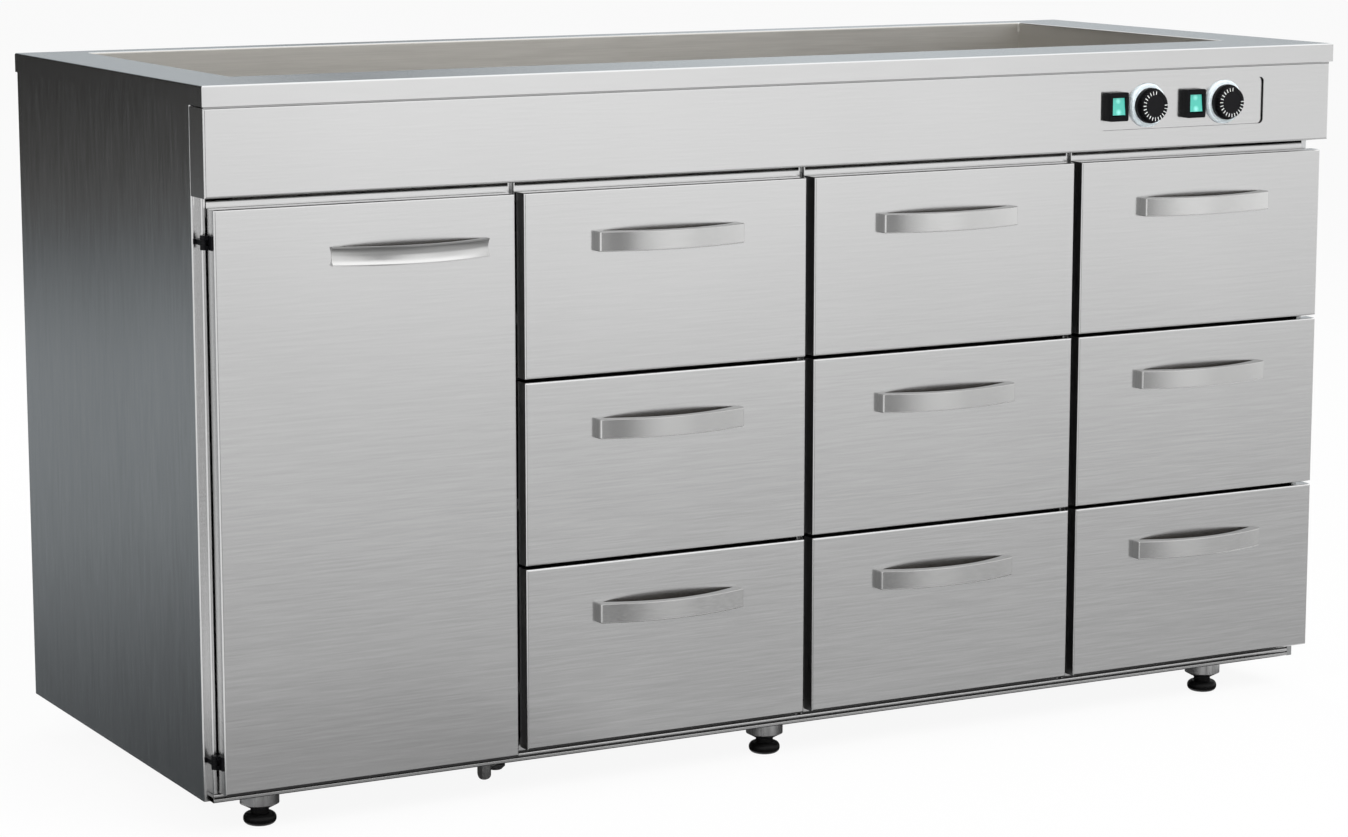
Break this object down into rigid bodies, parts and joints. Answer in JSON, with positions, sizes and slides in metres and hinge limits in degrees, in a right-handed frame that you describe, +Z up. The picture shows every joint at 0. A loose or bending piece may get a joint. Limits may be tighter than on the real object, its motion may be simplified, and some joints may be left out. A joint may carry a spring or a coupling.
{
  "type": "bain marie counter",
  "caption": "Stainless steel bain marie counter: heated well in the worktop, control fascia with switches and thermostat knobs, hinged cupboard door, drawers and adjustable feet.",
  "frame": {"origin": "centre of the overall footprint, handles included, on the floor", "axes": "+X to the right seen from the front, +Y from the front to the back, +Z up"},
  "size_m": [1.6, 0.67, 0.88],
  "materials": {
    "top_steel": "brushed along the counter",
    "well_steel": "satin",
    "carcass_steel": "brushed upright",
    "front_steel": "brushed along the counter",
    "polished_steel": "finely polished",
    "runner_steel": "plain zinc",
    "box_steel": "satin",
    "black_plastic": "satin black",
    "knob_plastic": "satin black with white ticks",
    "foot_plastic": "satin black",
    "pale_plastic": "pale translucent",
    "green_lens": "lit green lens",
    "mat_silicone": "silicone sheet",
    "drain_fitting": "black coated"
  },
  "bodies": {
    "cabinet": {"worktop": "top_steel", "well_tank": "well_steel", "left_end_panel": "carcass_steel", "right_side_panel": "carcass_steel", "back_panel": "carcass_steel", "base_panel": "carcass_steel", "partitions": "carcass_steel", "front_rails": "carcass_steel", "control_fascia": "front_steel", "control_plate": "front_steel", "control_gear": "black_plastic", "dial_rings": "pale_plastic", "heating_mats": "mat_silicone", "drawer_runners": "runner_steel", "foot_sockets": "polished_steel", "hinge_brackets": "black_plastic", "drain_pipe": "drain_fitting", "mains_entry": "black_plastic"},
    "door": {"door_skin": "front_steel", "door_liner": "carcass_steel", "door_handle": "polished_steel", "door_hinges": "black_plastic"},
    "drain_lever": {"drain_lever": "polished_steel"},
    "knob_left": {"knob_left": "knob_plastic"},
    "rocker_left": {"rocker_left": "green_lens"},
    "knob_right": {"knob_right": "knob_plastic"},
    "rocker_right": {"rocker_right": "green_lens"},
    "foot_front_left": {"foot_front_left": "foot_plastic"},
    "foot_front_middle": {"foot_front_middle": "foot_plastic"},
    "foot_front_right": {"foot_front_right": "foot_plastic"},
    "foot_back_left": {"foot_back_left": "foot_plastic"},
    "foot_back_middle": {"foot_back_middle": "foot_plastic"},
    "foot_back_right": {"foot_back_right": "foot_plastic"},
    "drawer_left_top": {"drawer_left_top_front": "front_steel", "drawer_left_top_handle": "polished_steel", "drawer_left_top_box": "box_steel"},
    "drawer_left_middle": {"drawer_left_middle_front": "front_steel", "drawer_left_middle_handle": "polished_steel", "drawer_left_middle_box": "box_steel"},
    "drawer_left_bottom": {"drawer_left_bottom_front": "front_steel", "drawer_left_bottom_handle": "polished_steel", "drawer_left_bottom_box": "box_steel"},
    "drawer_middle_top": {"drawer_middle_top_front": "front_steel", "drawer_middle_top_handle": "polished_steel", "drawer_middle_top_box": "box_steel"},
    "drawer_middle_middle": {"drawer_middle_middle_front": "front_steel", "drawer_middle_middle_handle": "polished_steel", "drawer_middle_middle_box": "box_steel"},
    "drawer_middle_bottom": {"drawer_middle_bottom_front": "front_steel", "drawer_middle_bottom_handle": "polished_steel", "drawer_middle_bottom_box": "box_steel"},
    "drawer_right_top": {"drawer_right_top_front": "front_steel", "drawer_right_top_handle": "polished_steel", "drawer_right_top_box": "box_steel"},
    "drawer_right_middle": {"drawer_right_middle_front": "front_steel", "drawer_right_middle_handle": "polished_steel", "drawer_right_middle_box": "box_steel"},
    "drawer_right_bottom": {"drawer_right_bottom_front": "front_steel", "drawer_right_bottom_handle": "polished_steel", "drawer_right_bottom_box": "box_steel"}
  },
  "joints": [
    {"name": "door_hinge", "type": "hinge", "parent": "cabinet", "child": "door", "pos_m": [-0.7905, -0.288, 0.397], "axis": [0, 0, -1], "range_deg": [0, 110]},
    {"name": "knob_left_turn", "type": "hinge", "parent": "cabinet", "child": "knob_left", "pos_m": [0.5016, -0.3101, 0.809], "axis": [0, 1, 0], "range_deg": [0, 270]},
    {"name": "rocker_left_tilt", "type": "hinge", "parent": "cabinet", "child": "rocker_left", "pos_m": [0.4506, -0.3156, 0.809], "axis": [1, 0, 0], "range_deg": [0, 14]},
    {"name": "knob_right_turn", "type": "hinge", "parent": "cabinet", "child": "knob_right", "pos_m": [0.6241, -0.3101, 0.809], "axis": [0, 1, 0], "range_deg": [0, 270]},
    {"name": "rocker_right_tilt", "type": "hinge", "parent": "cabinet", "child": "rocker_right", "pos_m": [0.5731, -0.3156, 0.809], "axis": [1, 0, 0], "range_deg": [0, 14]},
    {"name": "drain_lever_turn", "type": "hinge", "parent": "cabinet", "child": "drain_lever", "pos_m": [-0.415, -0.257, 0.0399], "axis": [0, 0, 1], "range_deg": [0, 90]},
    {"name": "foot_front_left_adjust", "type": "slide", "parent": "cabinet", "child": "foot_front_left", "axis": [0, 0, -1], "range_m": [0, 0.02]},
    {"name": "foot_front_middle_adjust", "type": "slide", "parent": "cabinet", "child": "foot_front_middle", "axis": [0, 0, -1], "range_m": [0, 0.02]},
    {"name": "foot_front_right_adjust", "type": "slide", "parent": "cabinet", "child": "foot_front_right", "axis": [0, 0, -1], "range_m": [0, 0.02]},
    {"name": "foot_back_left_adjust", "type": "slide", "parent": "cabinet", "child": "foot_back_left", "axis": [0, 0, -1], "range_m": [0, 0.02]},
    {"name": "foot_back_middle_adjust", "type": "slide", "parent": "cabinet", "child": "foot_back_middle", "axis": [0, 0, -1], "range_m": [0, 0.02]},
    {"name": "foot_back_right_adjust", "type": "slide", "parent": "cabinet", "child": "foot_back_right", "axis": [0, 0, -1], "range_m": [0, 0.02]},
    {"name": "drawer_left_top_slide", "type": "slide", "parent": "cabinet", "child": "drawer_left_top", "axis": [0, -1, 0], "range_m": [0, 0.42]},
    {"name": "drawer_left_middle_slide", "type": "slide", "parent": "cabinet", "child": "drawer_left_middle", "axis": [0, -1, 0], "range_m": [0, 0.42]},
    {"name": "drawer_left_bottom_slide", "type": "slide", "parent": "cabinet", "child": "drawer_left_bottom", "axis": [0, -1, 0], "range_m": [0, 0.42]},
    {"name": "drawer_middle_top_slide", "type": "slide", "parent": "cabinet", "child": "drawer_middle_top", "axis": [0, -1, 0], "range_m": [0, 0.42]},
    {"name": "drawer_middle_middle_slide", "type": "slide", "parent": "cabinet", "child": "drawer_middle_middle", "axis": [0, -1, 0], "range_m": [0, 0.42]},
    {"name": "drawer_middle_bottom_slide", "type": "slide", "parent": "cabinet", "child": "drawer_middle_bottom", "axis": [0, -1, 0], "range_m": [0, 0.42]},
    {"name": "drawer_right_top_slide", "type": "slide", "parent": "cabinet", "child": "drawer_right_top", "axis": [0, -1, 0], "range_m": [0, 0.42]},
    {"name": "drawer_right_middle_slide", "type": "slide", "parent": "cabinet", "child": "drawer_right_middle", "axis": [0, -1, 0], "range_m": [0, 0.42]},
    {"name": "drawer_right_bottom_slide", "type": "slide", "parent": "cabinet", "child": "drawer_right_bottom", "axis": [0, -1, 0], "range_m": [0, 0.42]}
  ]
}
